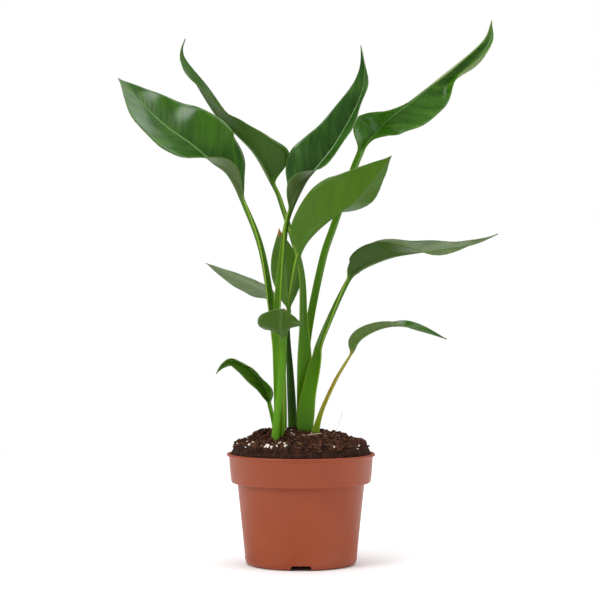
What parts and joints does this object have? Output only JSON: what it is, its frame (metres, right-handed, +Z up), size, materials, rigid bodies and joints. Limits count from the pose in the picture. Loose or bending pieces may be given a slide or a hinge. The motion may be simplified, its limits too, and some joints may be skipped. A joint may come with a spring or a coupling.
{
  "type": "potted bird of paradise plant",
  "caption": "Young bird of paradise plant: long-stalked paddle leaves, spreading and folded, rise in tight fans from heaped peat soil in a plain tapered pot with a deep band.",
  "frame": {"origin": "centre of the pad under the pot, on the pot's axis, in the plane that the pot stands on", "axes": "+Z up along the pot's axis and the plant's longest extent; -Y is the side that the broad faces of most leaves look to; +X to the right seen from there"},
  "size_m": [0.3074, 0.131, 0.444],
  "materials": {
    "pot_plastic": "satin moulded terracotta-coloured polypropylene",
    "peat_soil": "loose dark brown peat and coir with fibres and white perlite",
    "leaf": "waxy leathery green leaf, glossy above and duller grey-green below"
  },
  "bodies": {
    "root": {"pot": "pot_plastic", "potting_soil": "peat_soil", "leaf_upper_left": "leaf", "leaf_curled_left": "leaf", "leaf_upright_middle": "leaf", "leaf_bowed_right": "leaf", "leaf_tall_right": "leaf", "leaf_arching_right": "leaf", "leaf_short_front": "leaf", "leaf_low_right": "leaf", "leaf_back_left": "leaf", "leaf_low_left": "leaf", "leaf_upright_back": "leaf"}
  },
  "joints": []
}
